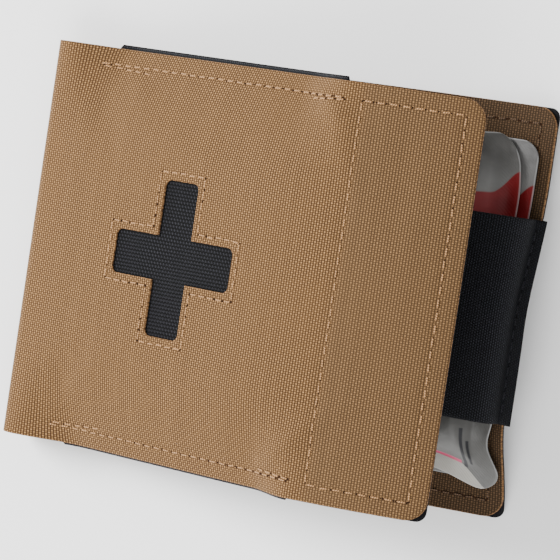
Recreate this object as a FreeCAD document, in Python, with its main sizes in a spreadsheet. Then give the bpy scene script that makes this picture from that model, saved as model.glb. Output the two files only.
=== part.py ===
"""A folding medical wallet: two cloth covers joined by a soft fold, elastic bands inside both,
two sealed dressing pouches under the back band and a folded elastic tourniquet under the front band.

Units are millimetres and degrees. The wallet lies closed on its back cover: +X runs from the fold
to the fore-edge, +Y from the page's bottom edge to its top edge and +Z up through the front cover.
The origin is on the resting face, under the middle of the fold, at the bottom edge.
Cloth distances are measured along the cloth from the middle of the fold.
"""
import FreeCAD, Part
import math
import os
import Sketcher

SIZES = {
    # covers
    "page_height": 120.65,
    "front_cover_width": 158.75,
    "back_cover_width": 161.925,
    "shell_thick": 0.7,
    "lining_thick": 0.5,
    "corner_round": 6.5,
    # the fold, then the front cover's straight rise and its bend
    "fold_radius": 4.8,
    "rise_angle": 18.5,
    "straight_end": 89,
    "bend_radius": 119.5,
    # loop panel on the back, hook panel inside the front
    "panel_thick": 1.2,
    "panel_start": 14,
    "panel_round": 3,
    "hook_thick": 1.5,
    "hook_start": 120,
    # cross window and its backing
    "cross_at": 63,
    "cross_above": 0.7,
    "cross_size": 46.5,
    "cross_arm": 13.2,
    "cross_round": 2,
    "patch_size": 53,
    "patch_gap": 0.2,
    # elastic bands
    "band_thick": 1,
    "band_tab": 12,
    "band_slope": 0.6,
    "front_band_start": 22.5,
    "front_band_width": 94,
    "front_band_clear": 3,
    "band_over_top": 1.3,
    "band_over_bottom": 0.7,
    "back_band_low": 28,
    "back_band_width": 60,
    "back_band_start": 22,
    "back_band_crest": 60,
    "back_band_past": 3.5,
    "back_band_drop": 0.7,
    # pouches
    "pouch_width": 76,
    "pouch_length": 105,
    "pouch_low": 8,
    "pouch_round": 5,
    "pouch_margin": 7,
    "film_thick": 0.3,
    "lower_pouch_x": 74.5,
    "lower_pouch_z": 3,
    "lower_pouch_thick": 5.2,
    "upper_pouch_x": 73,
    "upper_pouch_z": 8.5,
    "upper_pouch_thick": 6,
    # folded tourniquet
    "wrap_layers": 5,
    "wrap_start": 24,
    "wrap_length": 64,
    "wrap_width": 60,
    "wrap_layer": 1,
    "wrap_gap": 0.25,
    "sleeve_start": 31,
    "sleeve_length": 48,
    "running_gap": 0.3,
    # how far a cutting outline reaches past what it cuts
    "cut_past": 5,
    # thread
    "stitch_long": 2.7,
    "stitch_wide": 0.5,
    "stitch_high": 0.25,
    "stitch_pitch": 3.7,
    "seam_inset": 5,
    "seam_past": 3.5,
    "seam_lock": 20,
    "seam_end_lock": 10,
    "hook_seam_in": 2.4,
    "panel_seam_in": 2,
    "band_seam_in": 3,
    "band_end_seam_in": 4.6,
    "band_row_gap": 5,
    "cross_seam_gap": 2.2,
}

# Sizes worked out from the sheet, as expressions that the document keeps live.
TURN = "(180 - sizes.rise_angle)"
BACK_TURN = f"({TURN} / 4)"
SPINE_TURN = f"({TURN} / 2)"
SHELL_BASE = "sizes.panel_thick"
LINING_BASE = "(sizes.panel_thick + sizes.shell_thick)"
LINING_TOP = f"({LINING_BASE} + sizes.lining_thick)"
FOLD_Z = f"({LINING_TOP} + sizes.fold_radius)"
HALF_FOLD = f"(pi / 180 * {TURN} / 2 * (sizes.fold_radius + sizes.lining_thick))"
BACK_END = f"(sizes.back_cover_width - {HALF_FOLD})"
STRAIGHT = f"(sizes.straight_end - {HALF_FOLD})"
FOLD_TO_BEND = "(sizes.bend_radius - sizes.fold_radius)"
BEND_X = f"({FOLD_TO_BEND} * sin(sizes.rise_angle) + {STRAIGHT} * cos(sizes.rise_angle))"
BEND_Z = f"({FOLD_Z} - {FOLD_TO_BEND} * cos(sizes.rise_angle) + {STRAIGHT} * sin(sizes.rise_angle))"
PER_DEGREE = "(pi / 180 * (sizes.bend_radius + sizes.lining_thick))"
MIDDLE = "(sizes.page_height / 2)"
CROSS_X = "(sizes.cross_at - sizes.straight_end)"
CROSS_Y = f"({MIDDLE} + sizes.cross_above)"
WRAP_THICK = "(sizes.wrap_layers * (sizes.wrap_layer + sizes.wrap_gap) - sizes.wrap_gap)"
WRAP_OUT = "(sizes.bend_radius - sizes.hook_thick - sizes.running_gap - sizes.film_thick)"
BAND_IN = f"({WRAP_OUT} - {WRAP_THICK} - sizes.film_thick - sizes.running_gap)"

# Tolerances for telling edges apart: a direction's share along an axis, and millimetres.
NEARLY_ALONG = 0.9999
NEAR = 0.5

doc = FreeCAD.newDocument("medical_wallet")
sheet = doc.addObject("Spreadsheet::Sheet", "sizes")
for row, (alias, size) in enumerate(SIZES.items(), start=1):
    sheet.set(f"A{row}", alias)
    sheet.set(f"B{row}", str(size))
    sheet.setAlias(f"B{row}", alias)
doc.recompute()
sub_parts = []


def value(expression):
    """The number that an expression gives now."""
    found = sheet.evalExpression(expression.replace("sizes.", ""))
    return float(getattr(found, "Value", found))


def new_body(name):
    body = doc.addObject("PartDesign::Body", name)
    body.Label = name
    sub_parts.append(body)
    return body


def place(thing, x="0", z="0", turn="0"):
    """Moves a sub-part in X and Z and turns it about the page's Y direction."""
    thing.setExpression(
        "Placement", f"placement(vector({x}; 0; {z}); rotation(vector(0; 1; 0); {turn}))"
    )


def new_sketch(body, name, role, lift="0"):
    """A sketch on one of the body's own origin planes, lifted along its normal."""
    plane = next(f for f in body.Origin.OriginFeatures if f.Role == role)
    sketch = body.newObject("Sketcher::SketchObject", name)
    sketch.AttachmentSupport = [(plane, "")]
    sketch.MapMode = "FlatFace"
    sketch.setExpression(
        "AttachmentOffset", f"placement(vector(0; 0; {lift}); rotation(0; 0; 0))"
    )
    return sketch


def outline(sketch, corners):
    """Adds a closed outline of straight lines through corners, each an (x, y) pair of expressions."""
    first = sketch.GeometryCount
    count = len(corners)
    spots = [FreeCAD.Vector(value(x), value(y), 0) for x, y in corners]
    for i in range(count):
        sketch.addGeometry(Part.LineSegment(spots[i], spots[(i + 1) % count]), False)
    for i in range(count):
        following = first + (i + 1) % count
        sketch.addConstraint(Sketcher.Constraint("Coincident", first + i, 2, following, 1))
    for i, pair in enumerate(corners):
        for kind, expression in zip(("DistanceX", "DistanceY"), pair):
            limit = Sketcher.Constraint(kind, -1, 1, first + i, 1, value(expression))
            number = sketch.addConstraint(limit)
            sketch.setExpression(f"Constraints[{number}]", expression)


def box_corners(left, right, low, high):
    return [(left, low), (right, low), (right, high), (left, high)]


def pad(body, name, sketch, height, backwards=False):
    feature = body.newObject("PartDesign::Pad", name)
    feature.Profile = sketch
    feature.Reversed = backwards
    feature.setExpression("Length", height)
    doc.recompute()
    return feature


def cut(body, name, sketch, depth, backwards=False):
    """Cuts a sketch's outlines into a body, which has to get smaller."""
    before = body.Shape.Volume
    feature = body.newObject("PartDesign::Pocket", name)
    feature.Profile = sketch
    feature.Reversed = backwards
    feature.setExpression("Length", depth)
    doc.recompute()
    if not feature.Shape.Volume < before:
        raise RuntimeError(f"{name} cuts nothing")
    return feature


def turned(body, name, sketch, angle):
    """Turns a sketch about its own x axis, which lies along the page's Y."""
    feature = body.newObject("PartDesign::Revolution", name)
    feature.Profile = sketch
    feature.ReferenceAxis = (sketch, ["H_Axis"])
    feature.setExpression("Angle", angle)
    doc.recompute()
    return feature


def round_edges(body, name, base, radius, wanted):
    """Fillets those straight edges of a feature whose middle and direction pass the test."""
    names = []
    for number, edge in enumerate(base.Shape.Edges, start=1):
        if isinstance(edge.Curve, Part.Line) and wanted(edge):
            names.append(f"Edge{number}")
    feature = body.newObject("PartDesign::Fillet", name)
    feature.Base = (base, names)
    feature.setExpression("Radius", radius)
    doc.recompute()
    return feature


def upright(edge):
    """True for an edge along Z."""
    return abs(edge.Curve.Direction.z) > NEARLY_ALONG


def bend_angle(distance):
    """How far round the front cover's bend a cloth distance from the middle of the fold lies."""
    return f"(({distance} - sizes.straight_end) / {PER_DEGREE})"


def front_piece(name, start, end, profiles, round_end=None):
    """A layer of the front cover between two cloth distances: straight up to the bend, then bowed.
    profiles are outlines of (y, radius) corners, the radius measured from the bend's axis."""
    body = new_body(name)
    has_straight = value(start) < value("sizes.straight_end")
    has_bow = value(end) > value("sizes.straight_end")
    if has_straight:
        flat_end = "sizes.straight_end" if has_bow else end
        lift = f"({flat_end} - sizes.straight_end)"
        sketch = new_sketch(body, f"{name}_straight_section", "YZ_Plane", lift)
        for corners in profiles:
            outline(sketch, corners)
        pad(body, f"{name}_straight", sketch, f"({flat_end} - {start})", backwards=True)
    if has_bow:
        bow_start = "sizes.straight_end" if has_straight else start
        sketch = new_sketch(body, f"{name}_bow_section", "YZ_Plane")
        for corners in profiles:
            outline(sketch, corners)
        bow_turn = f"({end} - {bow_start}) / {PER_DEGREE}"
        bow = turned(body, f"{name}_bow", sketch, bow_turn)
    if round_end:
        reach = math.radians(value(bow_turn))
        across = FreeCAD.Vector(math.sin(reach), 0, math.cos(reach))

        def at_fore_edge(edge):
            return abs(edge.Curve.Direction.dot(across)) > NEARLY_ALONG

        round_edges(body, f"{name}_corners", bow, round_end, at_fore_edge)
    turn = "0" if has_straight else bend_angle(start)
    place(body, BEND_X, BEND_Z, f"{turn} - sizes.rise_angle")
    return body


def back_layer(name, base, thick):
    """One cloth layer of the back cover, flat, with the first quarter of the fold."""
    body = new_body(name)
    top = f"({base} + {thick})"
    section = box_corners("0", "sizes.page_height", f"({base} - {FOLD_Z})", f"({top} - {FOLD_Z})")
    flat_sketch = new_sketch(body, f"{name}_section", "YZ_Plane")
    outline(flat_sketch, section)
    flat = pad(body, f"{name}_flat", flat_sketch, BACK_END)

    def at_fore_edge(edge):
        return upright(edge) and edge.CenterOfMass.x > NEAR

    round_edges(body, f"{name}_corners", flat, "sizes.corner_round", at_fore_edge)
    fold_sketch = new_sketch(body, f"{name}_fold_section", "YZ_Plane")
    outline(fold_sketch, section)
    turned(body, f"{name}_fold", fold_sketch, BACK_TURN)
    place(body, z=FOLD_Z)


def spine_layer(name, inner, outer):
    """One cloth layer of the fold's middle half."""
    body = new_body(name)
    sketch = new_sketch(body, f"{name}_section", "YZ_Plane")
    outline(sketch, box_corners("0", "sizes.page_height", f"(0 - {outer})", f"(0 - {inner})"))
    turned(body, f"{name}_fold", sketch, SPINE_TURN)
    place(body, z=FOLD_Z, turn=BACK_TURN)


def front_layer(name, depth, thick):
    """One cloth layer of the front cover: the last quarter of the fold and the whole cover."""
    inner = f"(sizes.bend_radius + {depth})"
    section = box_corners("0", "sizes.page_height", inner, f"({inner} + {thick})")
    body = front_piece(name, HALF_FOLD, "sizes.front_cover_width", [section], "sizes.corner_round")
    sketch = new_sketch(body, f"{name}_fold_section", "YZ_Plane", f"(0 - {STRAIGHT})")
    outline(sketch, section)
    height = value(FOLD_TO_BEND)
    length = value("sizes.cut_past")
    axis = Part.LineSegment(FreeCAD.Vector(0, height, 0), FreeCAD.Vector(length, height, 0))
    line = sketch.addGeometry(axis, True)
    sketch.addConstraint(Sketcher.Constraint("Horizontal", line))
    sketch.addConstraint(Sketcher.Constraint("DistanceX", -1, 1, line, 1, 0))
    sketch.addConstraint(Sketcher.Constraint("DistanceX", line, 1, line, 2, length))
    number = sketch.addConstraint(Sketcher.Constraint("DistanceY", -1, 1, line, 1, height))
    sketch.setExpression(f"Constraints[{number}]", FOLD_TO_BEND)
    fold = body.newObject("PartDesign::Revolution", f"{name}_fold")
    fold.Profile = sketch
    fold.ReferenceAxis = (sketch, ["Axis0"])
    fold.Reversed = True
    fold.setExpression("Angle", BACK_TURN)
    doc.recompute()
    return body


def cut_window(body, corners):
    """Cuts an outline through the straight part of a front layer."""
    sketch = new_sketch(body, f"{body.Name}_window_outline", "XY_Plane")
    outline(sketch, corners)
    return cut(body, f"{body.Name}_window", sketch, "sizes.bend_radius + sizes.cut_past", backwards=True)


def cross_corners():
    """The twelve corners of the cross, in the frame of the cover's straight part."""
    tip = "(sizes.cross_size / 2)"
    arm = "(sizes.cross_arm / 2)"
    quarter = [(tip, arm), (arm, arm), (arm, tip)]
    corners = []
    for turn in range(4):
        for x, y in quarter:
            for _ in range(turn):
                x, y = f"(0 - {y})", x
            corners.append((f"({CROSS_X} + {x})", f"({CROSS_Y} + {y})"))
    return corners


# Cloth covers and the fold between them.
back_layer("back_cover_shell", SHELL_BASE, "sizes.shell_thick")
back_layer("back_cover_lining", LINING_BASE, "sizes.lining_thick")
LINING_RADIUS = "(sizes.fold_radius + sizes.lining_thick)"
spine_layer("spine_shell", LINING_RADIUS, f"({LINING_RADIUS} + sizes.shell_thick)")
spine_layer("spine_lining", "sizes.fold_radius", LINING_RADIUS)
front_shell = front_layer("front_cover_shell", "sizes.lining_thick", "sizes.shell_thick")
front_lining = front_layer("front_cover_lining", "0", "sizes.lining_thick")

# The cross window in the shell, and its backing patch set into the lining.
window = cut_window(front_shell, cross_corners())
tip_reach = value("sizes.cross_size / 2")


def at_cross_tip(edge):
    """True for an edge through the shell at the outer corners of the cross's arms."""
    middle = edge.CenterOfMass
    x, y = abs(middle.x - value(CROSS_X)), abs(middle.y - value(CROSS_Y))
    return upright(edge) and abs(max(x, y) - tip_reach) < NEAR


round_edges(front_shell, "cross_corners", window, "sizes.cross_round", at_cross_tip)
patch_x = [f"({CROSS_X} - sizes.patch_size / 2)", f"({CROSS_X} + sizes.patch_size / 2)"]
patch_y = [f"({CROSS_Y} - sizes.patch_size / 2)", f"({CROSS_Y} + sizes.patch_size / 2)"]
cut_window(front_lining, box_corners(*patch_x, *patch_y))
front_piece(
    "cross_backing",
    "(sizes.cross_at - sizes.patch_size / 2 + sizes.patch_gap)",
    "(sizes.cross_at + sizes.patch_size / 2 - sizes.patch_gap)",
    [box_corners(*patch_y, "sizes.bend_radius", "(sizes.bend_radius + sizes.lining_thick)")],
)

# Hook panel inside the front cover's fore-edge, loop panel under the back cover.
front_piece(
    "hook_panel", "sizes.hook_start", "sizes.front_cover_width",
    [box_corners("0", "sizes.page_height", "(sizes.bend_radius - sizes.hook_thick)",
                 "sizes.bend_radius")],
    "sizes.panel_round",
)
loop_panel = new_body("loop_panel")
loop_sketch = new_sketch(loop_panel, "loop_panel_outline", "XY_Plane")
outline(loop_sketch, box_corners("sizes.panel_start", BACK_END, "0", "sizes.page_height"))
loop_pad = pad(loop_panel, "loop_panel_sheet", loop_sketch, "sizes.panel_thick")
round_edges(loop_panel, "loop_panel_corners", loop_pad, "sizes.panel_round", upright)
place(loop_panel)

# The front band: sewn along the page's top and bottom edges, bridging the folded tourniquet.
front_band_end = "(sizes.front_band_start + sizes.front_band_width)"
tab_in = "(sizes.bend_radius - sizes.band_thick)"
band_deep = f"({BAND_IN} - sizes.band_thick)"
bridge = "(sizes.wrap_width / 2 + sizes.front_band_clear)"
slope = "sizes.band_slope"
low_end = "(0 - sizes.band_over_bottom)"
high_end = "(sizes.page_height + sizes.band_over_top)"
high_tab = "(sizes.page_height - sizes.band_tab)"
front_piece("front_band", "sizes.front_band_start", front_band_end, [[
    (low_end, "sizes.bend_radius"),
    ("sizes.band_tab", "sizes.bend_radius"),
    (f"({MIDDLE} - {bridge})", BAND_IN),
    (f"({MIDDLE} + {bridge})", BAND_IN),
    (high_tab, "sizes.bend_radius"),
    (high_end, "sizes.bend_radius"),
    (high_end, tab_in),
    (f"({high_tab} + {slope})", tab_in),
    (f"({MIDDLE} + {bridge} + {slope})", band_deep),
    (f"({MIDDLE} - {bridge} - {slope})", band_deep),
    (f"(sizes.band_tab - {slope})", tab_in),
    (low_end, tab_in),
]])

# The back band: sewn near the fold and over the fore-edge, bridging both pouches.
back_band = new_body("back_band")
band_sketch = new_sketch(back_band, "back_band_section", "XZ_Plane")
crest = "(sizes.upper_pouch_z + sizes.upper_pouch_thick + sizes.running_gap)"
crest_top = f"({crest} + sizes.band_thick)"
tab_top = f"({LINING_TOP} + sizes.band_thick)"
tab_end = "(sizes.back_band_start + sizes.band_tab)"
upper_edge = "(sizes.upper_pouch_x + sizes.pouch_width)"
lower_edge = "(sizes.lower_pouch_x + sizes.pouch_width)"
lower_top = "(sizes.lower_pouch_z + sizes.lower_pouch_thick + sizes.running_gap)"
band_past = f"({BACK_END} + sizes.back_band_past)"
drop_in = f"({lower_edge} + sizes.back_band_drop)"
drop_out = f"({drop_in} + sizes.band_thick)"
outline(band_sketch, [
    ("sizes.back_band_start", LINING_TOP),
    (tab_end, LINING_TOP),
    ("sizes.back_band_crest", crest),
    (f"({upper_edge} + sizes.band_thick)", crest),
    (drop_in, lower_top),
    (drop_in, LINING_TOP),
    (band_past, LINING_TOP),
    (band_past, tab_top),
    (drop_out, tab_top),
    (drop_out, f"({lower_top} + sizes.running_gap)"),
    (f"({upper_edge} + 2 * sizes.band_thick)", crest_top),
    (f"(sizes.back_band_crest - {slope})", crest_top),
    (f"({tab_end} - {slope})", tab_top),
    ("sizes.back_band_start", tab_top),
])
pad(back_band, "back_band_strip", band_sketch, "sizes.back_band_width", backwards=True)
back_band.setExpression("Placement", "placement(vector(0; sizes.back_band_low; 0); rotation(0; 0; 0))")
doc.recompute()


def pouch(name, contents, left, base, thick):
    """A sealed pouch: a flat lower film, an upper film raised over the contents, and the contents."""
    right = f"({left} + sizes.pouch_width)"
    low, high = "sizes.pouch_low", "(sizes.pouch_low + sizes.pouch_length)"
    inner = [f"({left} + sizes.pouch_margin)", f"({right} - sizes.pouch_margin)",
             f"({low} + sizes.pouch_margin)", f"({high} - sizes.pouch_margin)"]
    film = "sizes.film_thick"
    dome = [f"({inner[0]} - {film})", f"({inner[1]} + {film})",
            f"({inner[2]} - {film})", f"({inner[3]} + {film})"]

    lower = new_body(f"{name}_lower_film")
    sketch = new_sketch(lower, f"{name}_lower_outline", "XY_Plane")
    outline(sketch, box_corners(left, right, low, high))
    sheet_pad = pad(lower, f"{name}_lower_sheet", sketch, film)
    round_edges(lower, f"{name}_lower_corners", sheet_pad, "sizes.pouch_round", upright)
    place(lower, z=base)

    upper = new_body(f"{name}_upper_film")
    sketch = new_sketch(upper, f"{name}_upper_outline", "XY_Plane")
    outline(sketch, box_corners(left, right, low, high))
    rim = pad(upper, f"{name}_upper_rim", sketch, film)
    round_edges(upper, f"{name}_upper_corners", rim, "sizes.pouch_round", upright)
    sketch = new_sketch(upper, f"{name}_dome_outline", "XY_Plane")
    outline(sketch, box_corners(*dome))
    pad(upper, f"{name}_dome", sketch, f"({thick} - {film})")
    sketch = new_sketch(upper, f"{name}_cavity_outline", "XY_Plane")
    outline(sketch, box_corners(*inner))
    cut(upper, f"{name}_cavity", sketch, f"({thick} - 2 * {film})", backwards=True)
    place(upper, z=f"({base} + {film})")

    inside = new_body(contents)
    sketch = new_sketch(inside, f"{contents}_outline", "XY_Plane")
    outline(sketch, box_corners(*inner))
    pad(inside, f"{contents}_block", sketch, f"({thick} - 2 * {film})")
    place(inside, z=f"({base} + {film})")


pouch("lower_pouch", "pressure_dressing", "sizes.lower_pouch_x", "sizes.lower_pouch_z",
      "sizes.lower_pouch_thick")
pouch("upper_pouch", "folded_gauze", "sizes.upper_pouch_x", "sizes.upper_pouch_z",
      "sizes.upper_pouch_thick")

# The folded elastic tourniquet: five layers of one strap, joined by a turn at alternate ends.
wrap_end = "(sizes.wrap_start + sizes.wrap_length)"
wrap_low = f"({MIDDLE} - sizes.wrap_width / 2)"
wrap_high = f"({MIDDLE} + sizes.wrap_width / 2)"
wrap_in = f"({WRAP_OUT} - {WRAP_THICK})"
wrap = front_piece("tourniquet_wrap", "sizes.wrap_start", wrap_end,
                   [box_corners(wrap_low, wrap_high, wrap_in, WRAP_OUT)])
slit_length = "(sizes.wrap_length - sizes.wrap_layer)"
for side, numbers in (("near", (1, 3)), ("far", (2, 4))):
    turn_left = "sizes.wrap_layer" if side == "near" else "0"
    lift = f"({wrap_end} - {turn_left} - sizes.straight_end)"
    slit_sketch = new_sketch(wrap, f"wrap_{side}_slits", "YZ_Plane", lift)
    for number in numbers:
        slit_in = f"({wrap_in} + {number} * sizes.wrap_layer + {number - 1} * sizes.wrap_gap)"
        slit_low, slit_high = f"({wrap_low} - sizes.cut_past)", f"({wrap_high} + sizes.cut_past)"
        outline(slit_sketch, box_corners(slit_low, slit_high, slit_in, f"({slit_in} + sizes.wrap_gap)"))
    cut(wrap, f"wrap_{side}_gaps", slit_sketch, slit_length)
sleeve_end = "(sizes.sleeve_start + sizes.sleeve_length)"
film_in = [f"({wrap_low} - sizes.film_thick)", f"({wrap_high} + sizes.film_thick)",
           f"({wrap_in} - sizes.film_thick)", f"({WRAP_OUT} + sizes.film_thick)"]
front_piece("tourniquet_sleeve", "sizes.sleeve_start", sleeve_end,
            [box_corners(*film_in), box_corners(wrap_low, wrap_high, wrap_in, WRAP_OUT)])


def stitch_run(start, end, locate):
    """Separate stitches from start to end, evenly pitched; locate places a spot of the cloth."""
    (x0, y0), (x1, y1) = start, end
    length = math.hypot(x1 - x0, y1 - y0)
    heading = math.degrees(math.atan2(y1 - y0, x1 - x0))
    count = max(1, round(length / value("sizes.stitch_pitch")))
    long, wide = value("sizes.stitch_long"), value("sizes.stitch_wide")
    high = value("sizes.stitch_high")
    stitches = []
    for number in range(count):
        share = (number + 0.5) / count
        stitch = Part.makeBox(long, wide, high, FreeCAD.Vector(-long / 2, -wide / 2, 0))
        turn = FreeCAD.Rotation(FreeCAD.Vector(0, 0, 1), heading)
        spot = locate(x0 + share * (x1 - x0), y0 + share * (y1 - y0))
        stitch.Placement = spot.multiply(FreeCAD.Placement(FreeCAD.Vector(), turn))
        stitches.append(stitch)
    return stitches


def on_front(distance, y):
    """The spot on the front cover's outer face, in the frame of the bend's axis."""
    past = distance - value("sizes.straight_end")
    radius = value("sizes.bend_radius + sizes.lining_thick + sizes.shell_thick")
    spot = FreeCAD.Placement(FreeCAD.Vector(min(past, 0), y, radius), FreeCAD.Rotation())
    angle = max(0, value(bend_angle(str(distance))))
    turn = FreeCAD.Placement(FreeCAD.Vector(), FreeCAD.Rotation(FreeCAD.Vector(0, 1, 0), angle))
    return turn.multiply(spot)


def on_flat(x, y):
    """The spot on a flat face, in that face's frame."""
    return FreeCAD.Placement(FreeCAD.Vector(x, y, 0), FreeCAD.Rotation())


def thread(name, runs, locate, x="0", z="0", turn="0"):
    """A group of separate stitches: short solids in rows on a curved or flat face."""
    stitches = []
    for start, end in runs:
        stitches += stitch_run(start, end, locate)
    feature = doc.addObject("Part::Feature", name)
    feature.Label = name
    feature.Shape = Part.makeCompound(stitches)
    place(feature, x, z, turn)
    sub_parts.append(feature)


def loop_of(spots):
    return list(zip(spots, spots[1:] + spots[:1]))


def rectangle(left, right, low, high):
    return loop_of([(left, low), (right, low), (right, high), (left, high)])


inset = value("sizes.seam_inset")
top_seam = value("sizes.page_height") - inset
front_frame = (on_front, BEND_X, BEND_Z, "(0 - sizes.rise_angle)")
hook_left = value("sizes.hook_start + sizes.hook_seam_in")
hook_right = value("sizes.front_cover_width - sizes.seam_inset - sizes.stitch_wide")
thread("hook_panel_thread", rectangle(hook_left, hook_right, inset, top_seam), *front_frame)

cross_middle = (value("sizes.cross_at"), value(CROSS_Y))
tip = value("sizes.cross_size / 2 + sizes.cross_seam_gap")
arm = value("sizes.cross_arm / 2 + sizes.cross_seam_gap")
cross_spots = []
for quarter_turn in range(4):
    for x, y in ((tip, arm), (arm, arm), (arm, tip)):
        for _ in range(quarter_turn):
            x, y = -y, x
        cross_spots.append((cross_middle[0] + x, cross_middle[1] + y))
thread("cross_thread", loop_of(cross_spots), *front_frame)

# The band seams are doubled at both ends, where the thread is locked.
row_gap = 2 * value("sizes.stitch_wide")
seam_start = value("sizes.front_band_start") - value("sizes.seam_past")
seam_end = value(front_band_end)
lock, end_lock = value("sizes.seam_lock"), value("sizes.seam_end_lock")
for name, y, inward in (("front_band_top_thread", top_seam, -row_gap),
                        ("front_band_bottom_thread", inset, row_gap)):
    thread(name, [
        ((seam_start, y), (seam_end, y)),
        ((seam_start, y + inward), (seam_start + lock, y + inward)),
        ((seam_end - end_lock, y + inward), (seam_end, y + inward)),
    ], *front_frame)

panel_left = value("sizes.panel_start + sizes.panel_seam_in")
panel_right = value(BACK_END) - inset
thread("loop_panel_thread", rectangle(panel_left, panel_right, inset, top_seam), on_flat, z=LINING_TOP)

band_low = value("sizes.back_band_low + sizes.band_seam_in")
band_high = value("sizes.back_band_low + sizes.back_band_width - sizes.band_seam_in")
sew_near = value("sizes.back_band_start + sizes.band_seam_in")
second_row = sew_near + value("sizes.band_row_gap")
sew_far = value(band_past) - value("sizes.band_end_seam_in")
thread("back_band_thread", [
    ((sew_near, band_low), (sew_near, band_high)),
    ((second_row, band_low), (second_row, band_high)),
    ((sew_far, band_low), (sew_far, band_high)),
], on_flat, z=tab_top)

doc.recompute()
for thing in doc.Objects:
    if "Invalid" in thing.State or "Error" in thing.State:
        raise RuntimeError(f"{thing.Name} failed: {thing.State}")
for thing in sub_parts:
    if thing.Shape.isNull() or not thing.Shape.isValid():
        raise RuntimeError(f"{thing.Label}: the shape is null or not valid")

os.makedirs("parts", exist_ok=True)
for thing in sub_parts:
    thing.Shape.exportStep(f"parts/{thing.Label}.step")
    size = thing.Shape.BoundBox
    spans = ", ".join(f"{low:.2f} to {high:.2f}" for low, high in (
        (size.XMin, size.XMax), (size.YMin, size.YMax), (size.ZMin, size.ZMax)))
    print(f"{thing.Label}: {len(thing.Shape.Solids)} solids, {thing.Shape.Volume:.1f} mm3, {spans}")
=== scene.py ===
"""Looks of a folding medical wallet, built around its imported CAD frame.

Cloth places are given in millimetres as (s, y, offset): s runs along the cloth from the middle of
the fold, positive over the front cover and negative over the back cover, y runs up the page, and
offset is the height above the face between the shell and its lining, positive outwards.
"""

import itertools
import math

import bpy
import numpy as np
from mathutils import Matrix, Vector


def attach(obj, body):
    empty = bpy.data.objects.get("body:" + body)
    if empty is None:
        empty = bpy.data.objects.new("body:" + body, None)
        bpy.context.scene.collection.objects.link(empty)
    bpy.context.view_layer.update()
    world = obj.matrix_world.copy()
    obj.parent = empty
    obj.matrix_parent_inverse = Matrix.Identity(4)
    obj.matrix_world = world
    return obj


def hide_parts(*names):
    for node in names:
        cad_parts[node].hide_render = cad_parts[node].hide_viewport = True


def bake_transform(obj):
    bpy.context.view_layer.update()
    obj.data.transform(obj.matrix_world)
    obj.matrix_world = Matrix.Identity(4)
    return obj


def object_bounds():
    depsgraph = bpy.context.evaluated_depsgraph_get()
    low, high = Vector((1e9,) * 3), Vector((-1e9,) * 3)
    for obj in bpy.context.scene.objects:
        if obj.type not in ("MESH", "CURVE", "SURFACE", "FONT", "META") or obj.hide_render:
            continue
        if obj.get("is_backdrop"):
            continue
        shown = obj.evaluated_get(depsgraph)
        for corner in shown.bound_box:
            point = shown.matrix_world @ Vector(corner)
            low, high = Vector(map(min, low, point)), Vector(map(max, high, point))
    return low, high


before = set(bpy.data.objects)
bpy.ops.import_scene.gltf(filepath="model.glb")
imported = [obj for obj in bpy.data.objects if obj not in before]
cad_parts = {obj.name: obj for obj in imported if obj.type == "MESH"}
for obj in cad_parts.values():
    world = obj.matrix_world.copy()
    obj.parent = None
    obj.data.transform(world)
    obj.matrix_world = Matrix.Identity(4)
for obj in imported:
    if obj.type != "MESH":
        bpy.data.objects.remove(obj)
cad_low, cad_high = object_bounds()

MM = 0.001
# The gap that keeps two faces that lie on each other apart.
CLEAR = 0.02

# The covers of the CAD frame, in millimetres.
HEIGHT = 120.65
FRONT_WIDTH = 158.75
BACK_WIDTH = 161.925
SHELL = 0.7
LINING = 0.5
CORNER = 6.5
FOLD_RADIUS = 5.3
FOLD_Z = 7.2
RISE = math.radians(18.5)
STRAIGHT_END = 89.0
BEND_RADIUS = 120.0
HALF = (math.pi - RISE) / 2 * FOLD_RADIUS
BEND_X = (BEND_RADIUS - FOLD_RADIUS) * math.sin(RISE) + (STRAIGHT_END - HALF) * math.cos(RISE)
BEND_Z = FOLD_Z - (BEND_RADIUS - FOLD_RADIUS) * math.cos(RISE) + (STRAIGHT_END - HALF) * math.sin(RISE)
BACK_END = BACK_WIDTH - HALF
LINING_FACE = FOLD_Z - FOLD_RADIUS + LINING

# The loop panel and the hook panel.
PANEL = 1.2
HOOK = 1.5
PANEL_CORNER = 3.0
PANEL_START = 14.0
HOOK_START = 120.0

# The cross window and the patch behind it.
CROSS_S = 63.0
CROSS_Y = HEIGHT / 2 + 0.7
CROSS_TIP = 23.25
CROSS_ARM = 6.6
CROSS_ROUND = 2.0
PATCH_HALF = 26.3

# The bands: where they lie, the front one's flat length and its offset over the tourniquet.
BAND = 1.0
FRONT_BAND = (22.5, 116.5)
BAND_LOW, BAND_HIGH = -0.7, HEIGHT + 1.3
BRIDGE = -9.2
BACK_BAND_Y = (28.0, 88.0)

# The pouches, and the width of their sealed rims.
POUCH_SIZE = (76.0, 105.0)
POUCH_MARGIN = 7.0
FILM = 0.3

# The sewn rows.
SEAM_INSET = 5.0
TOP_SEAM = HEIGHT - SEAM_INSET
SEAM_YS = (SEAM_INSET, TOP_SEAM)
HOOK_SEAM = (122.4, 153.25)
CROSS_SEAM_GAP = 2.2
STITCH_PITCH = 3.7
STITCH_LONG = 2.7
SEAM_DIP = 0.16

# The covers' soft shape: how deep the front cover's edges curl in and from how far, and where the
# back cover starts to rise, how high, and how far it has slipped up the page.
CURL_DEPTH = 9.0
CURL_REACH = 32.6
RISE_START = 119.0
RISE_HEIGHT = 8.5
SLIP = 1.1

# Added to s in the map that the weave follows, so that it stays positive.
UV_SHIFT = 200.0


def smooth(t):
    """A soft step from 0 to 1 as t goes from 0 to 1."""
    t = np.clip(t, 0, 1)
    return t * t * (3 - 2 * t)


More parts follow.
